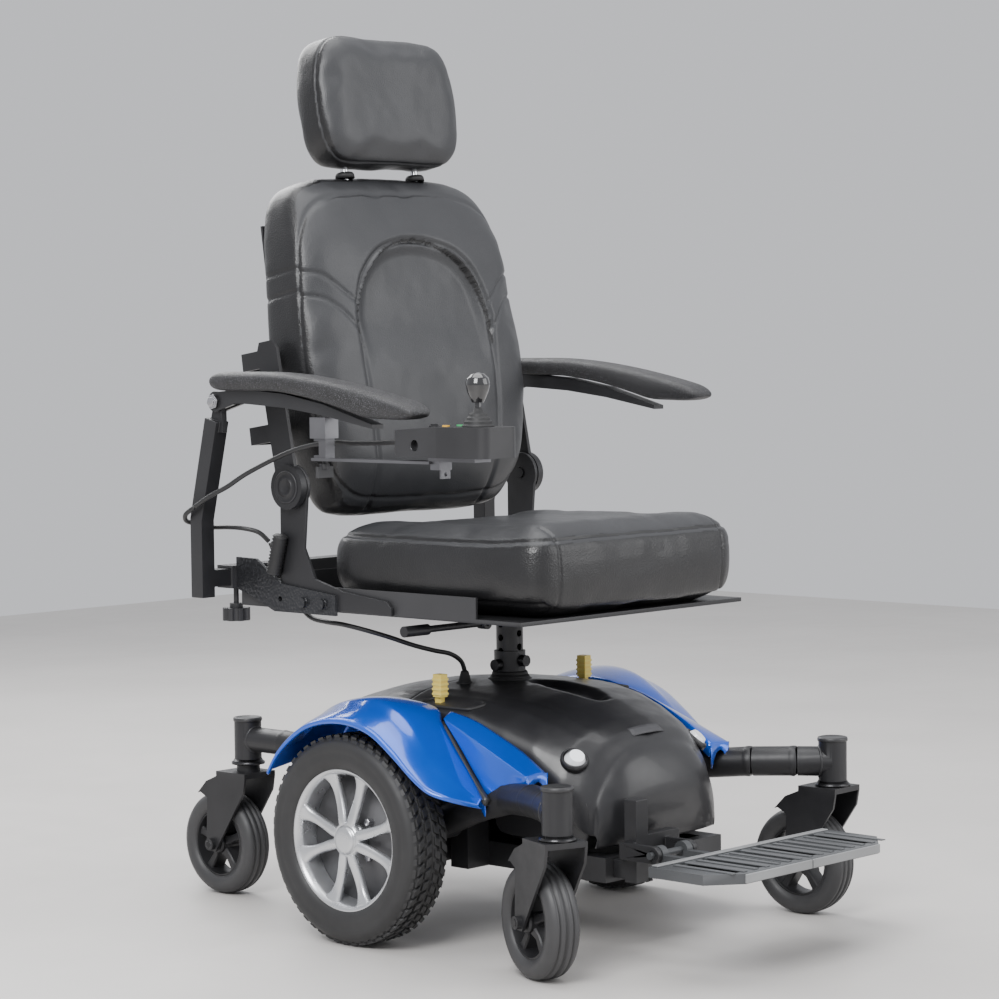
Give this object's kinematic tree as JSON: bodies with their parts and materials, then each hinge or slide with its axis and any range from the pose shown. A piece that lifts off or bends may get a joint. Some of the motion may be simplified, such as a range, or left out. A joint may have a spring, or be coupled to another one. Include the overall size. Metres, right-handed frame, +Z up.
{
  "type": "power wheelchair",
  "caption": "Mid-wheel-drive power wheelchair with swivelling captain seat, reclining back, headrest, flip-up armrests, joystick controller, casters and folding footplate.",
  "frame": {"origin": "on the floor under the middle of the overall box", "axes": "+Z up, -Y the way the user faces, -X the user's right hand (controller side)"},
  "size_m": [0.6865, 1.1175, 1.3249],
  "materials": {
    "frame_black": "satin",
    "shroud_black": "satin",
    "fender_blue": "gloss",
    "battery_case": "matte",
    "motor_grey": "satin",
    "module_black": "matte",
    "bolt_black": "satin",
    "lamp_clear": "gloss",
    "caster_rubber": "matte",
    "tyre_rubber": "matte",
    "rim_silver": "satin",
    "steel": "satin",
    "lever_yellow": "gloss",
    "plate_grey": "satin",
    "vinyl": "satin",
    "hammered": "hammered",
    "chrome": "polished",
    "pad_skin": "textured",
    "arm_black": "satin",
    "controller_black": "satin",
    "rubber_boot": "matte",
    "knob_gloss": "gloss",
    "button_green": "matte",
    "button_amber": "matte",
    "lead_black": "satin",
    "zinc": "satin"
  },
  "bodies": {
    "base": {"chassis_frame": "frame_black", "shroud_hood": "shroud_black", "shroud_tail": "shroud_black", "fender_right": "fender_blue", "fender_left": "fender_blue", "batteries": "battery_case", "gearmotor_right": "motor_grey", "gearmotor_left": "motor_grey", "control_module": "module_black", "post_inner": "frame_black", "post_bolts": "bolt_black", "head_lamps": "lamp_clear", "footrest_bracket": "frame_black"},
    "footplate": {"footplate": "plate_grey"},
    "seat": {"seat_frame": "frame_black", "seat_cushion": "vinyl", "recliner_plates": "frame_black", "side_brackets": "hammered", "lead_drop": "lead_black"},
    "swivel_lever": {"swivel_lever": "frame_black"},
    "back": {"back_frame": "frame_black", "back_cushion": "vinyl"},
    "headrest": {"headrest_rods": "chrome", "headrest_cushion": "vinyl"},
    "armrest_right": {"arm_bar_right": "arm_black", "arm_pad_right": "pad_skin", "controller_bracket": "zinc", "controller_housing": "controller_black", "lead_arm": "lead_black"},
    "armrest_left": {"arm_bar_left": "arm_black", "arm_pad_left": "pad_skin"},
    "arm_post_right": {"arm_post_right": "frame_black", "lead_post": "lead_black"},
    "arm_post_left": {"arm_post_left": "frame_black"},
    "bracket_knob": {"bracket_knob": "controller_black"},
    "joystick_gimbal": {"joystick_gimbal": "rubber_boot"},
    "joystick_knob": {"joystick_knob": "knob_gloss"},
    "on_off_button": {"on_off_button": "button_green"},
    "horn_button": {"horn_button": "button_amber"},
    "speed_dial": {"speed_dial": "controller_black"},
    "front_arm_right": {"front_arm_right": "frame_black"},
    "wheel_right": {"drive_tyre_right": "tyre_rubber", "drive_rim_right": "rim_silver", "drive_shaft_right": "steel"},
    "freewheel_lever_right": {"freewheel_lever_right": "lever_yellow"},
    "arm_knob_right": {"arm_knob_right": "knob_gloss"},
    "fork_front_right": {"fork_front_right": "frame_black"},
    "caster_front_right": {"caster_front_right": "caster_rubber"},
    "fork_rear_right": {"fork_rear_right": "frame_black"},
    "caster_rear_right": {"caster_rear_right": "caster_rubber"},
    "front_arm_left": {"front_arm_left": "frame_black"},
    "wheel_left": {"drive_tyre_left": "tyre_rubber", "drive_rim_left": "rim_silver", "drive_shaft_left": "steel"},
    "freewheel_lever_left": {"freewheel_lever_left": "lever_yellow"},
    "arm_knob_left": {"arm_knob_left": "knob_gloss"},
    "fork_front_left": {"fork_front_left": "frame_black"},
    "caster_front_left": {"caster_front_left": "caster_rubber"},
    "fork_rear_left": {"fork_rear_left": "frame_black"},
    "caster_rear_left": {"caster_rear_left": "caster_rubber"}
  },
  "joints": [
    {"name": "drive_wheel_right_spin", "type": "hinge", "parent": "base", "child": "wheel_right", "pos_m": [-0.281, 0.0415, 0.152], "axis": [1, 0, 0], "continuous": true},
    {"name": "front_arm_right_suspension", "type": "hinge", "parent": "base", "child": "front_arm_right", "pos_m": [-0.205, -0.0535, 0.175], "axis": [1, 0, 0], "range_deg": [-3, 3], "stiffness_Nm_per_rad": 6000},
    {"name": "freewheel_lever_right_tilt", "type": "hinge", "parent": "base", "child": "freewheel_lever_right", "pos_m": [-0.157, -0.0035, 0.225], "axis": [1, 0, 0], "range_deg": [0, 20]},
    {"name": "caster_front_right_swivel", "type": "hinge", "parent": "front_arm_right", "child": "fork_front_right", "pos_m": [-0.305, -0.3635, 0.23], "axis": [0, 0, 1], "continuous": true},
    {"name": "caster_front_right_roll", "type": "hinge", "parent": "fork_front_right", "child": "caster_front_right", "pos_m": [-0.28721, -0.31464, 0.08], "axis": [0.9397, -0.342, 0], "continuous": true},
    {"name": "caster_rear_right_swivel", "type": "hinge", "parent": "base", "child": "fork_rear_right", "pos_m": [-0.145, 0.4265, 0.23], "axis": [0, 0, 1], "continuous": true},
    {"name": "caster_rear_right_roll", "type": "hinge", "parent": "fork_rear_right", "child": "caster_rear_right", "pos_m": [-0.145, 0.4785, 0.08], "axis": [1, 0, 0], "continuous": true},
    {"name": "drive_wheel_left_spin", "type": "hinge", "parent": "base", "child": "wheel_left", "pos_m": [0.281, 0.0415, 0.152], "axis": [1, 0, 0], "continuous": true},
    {"name": "front_arm_left_suspension", "type": "hinge", "parent": "base", "child": "front_arm_left", "pos_m": [0.205, -0.0535, 0.175], "axis": [1, 0, 0], "range_deg": [-3, 3], "stiffness_Nm_per_rad": 6000},
    {"name": "freewheel_lever_left_tilt", "type": "hinge", "parent": "base", "child": "freewheel_lever_left", "pos_m": [0.157, -0.0035, 0.225], "axis": [1, 0, 0], "range_deg": [0, 20]},
    {"name": "caster_front_left_swivel", "type": "hinge", "parent": "front_arm_left", "child": "fork_front_left", "pos_m": [0.305, -0.3635, 0.23], "axis": [0, 0, 1], "continuous": true},
    {"name": "caster_front_left_roll", "type": "hinge", "parent": "fork_front_left", "child": "caster_front_left", "pos_m": [0.30319, -0.31153, 0.08], "axis": [0.9994, 0.0349, 0], "continuous": true},
    {"name": "caster_rear_left_swivel", "type": "hinge", "parent": "base", "child": "fork_rear_left", "pos_m": [0.145, 0.4265, 0.23], "axis": [0, 0, 1], "continuous": true},
    {"name": "caster_rear_left_roll", "type": "hinge", "parent": "fork_rear_left", "child": "caster_rear_left", "pos_m": [0.14863, 0.47837, 0.08], "axis": [0.9976, -0.0698, 0], "continuous": true},
    {"name": "footplate_fold", "type": "hinge", "parent": "base", "child": "footplate", "pos_m": [-0.084, -0.3765, 0.152], "axis": [-1, 0, 0], "range_deg": [0, 85]},
    {"name": "seat_swivel", "type": "hinge", "parent": "base", "child": "seat", "pos_m": [0, 0.0035, 0.462], "axis": [0, 0, 1], "range_deg": [-90, 90]},
    {"name": "swivel_lever_lift", "type": "hinge", "parent": "seat", "child": "swivel_lever", "pos_m": [-0.078, -0.0185, 0.448], "axis": [0, 1, 0], "range_deg": [0, 3.5], "stiffness_Nm_per_rad": 2, "springref_deg": -17.19},
    {"name": "back_fold", "type": "hinge", "parent": "seat", "child": "back", "pos_m": [0, 0.2035, 0.649], "axis": [1, 0, 0], "range_deg": [-15, 75]},
    {"name": "headrest_height", "type": "slide", "parent": "back", "child": "headrest", "axis": [0, 0.1392, 0.9903], "range_m": [0, 0.06]},
    {"name": "arm_width_right", "type": "slide", "parent": "seat", "child": "arm_post_right", "axis": [-1, 0, 0], "range_m": [0, 0.04]},
    {"name": "arm_knob_right_turn", "type": "hinge", "parent": "seat", "child": "arm_knob_right", "pos_m": [-0.24, 0.3415, 0.455], "axis": [0, 0, 1], "continuous": true},
    {"name": "armrest_right_flip", "type": "hinge", "parent": "arm_post_right", "child": "armrest_right", "pos_m": [-0.305, 0.2965, 0.775], "axis": [-1, 0, 0], "range_deg": [0, 95]},
    {"name": "arm_width_left", "type": "slide", "parent": "seat", "child": "arm_post_left", "axis": [1, 0, 0], "range_m": [0, 0.04]},
    {"name": "arm_knob_left_turn", "type": "hinge", "parent": "seat", "child": "arm_knob_left", "pos_m": [0.24, 0.3415, 0.455], "axis": [0, 0, 1], "continuous": true},
    {"name": "armrest_left_flip", "type": "hinge", "parent": "arm_post_left", "child": "armrest_left", "pos_m": [0.305, 0.2965, 0.787], "axis": [-1, 0, 0], "range_deg": [0, 95]},
    {"name": "bracket_knob_turn", "type": "hinge", "parent": "armrest_right", "child": "bracket_knob", "pos_m": [-0.305, 0.0755, 0.684], "axis": [0, 0, 1], "continuous": true},
    {"name": "joystick_side_tilt", "type": "hinge", "parent": "armrest_right", "child": "joystick_gimbal", "pos_m": [-0.298, -0.2205, 0.744], "axis": [0, 1, 0], "range_deg": [-18, 18], "stiffness_Nm_per_rad": 0.4},
    {"name": "joystick_fore_aft_tilt", "type": "hinge", "parent": "joystick_gimbal", "child": "joystick_knob", "pos_m": [-0.298, -0.2205, 0.744], "axis": [1, 0, 0], "range_deg": [-18, 18], "stiffness_Nm_per_rad": 0.4},
    {"name": "on_off_button_press", "type": "slide", "parent": "armrest_right", "child": "on_off_button", "axis": [0, 0, -1], "range_m": [0, 0.0015], "stiffness_N_per_m": 600, "springref_m": -0.001},
    {"name": "horn_button_press", "type": "slide", "parent": "armrest_right", "child": "horn_button", "axis": [0, 0, -1], "range_m": [0, 0.0015], "stiffness_N_per_m": 600, "springref_m": -0.001},
    {"name": "speed_dial_turn", "type": "hinge", "parent": "armrest_right", "child": "speed_dial", "pos_m": [-0.298, -0.1385, 0.74], "axis": [0, 0, 1], "range_deg": [-135, 135]}
  ]
}
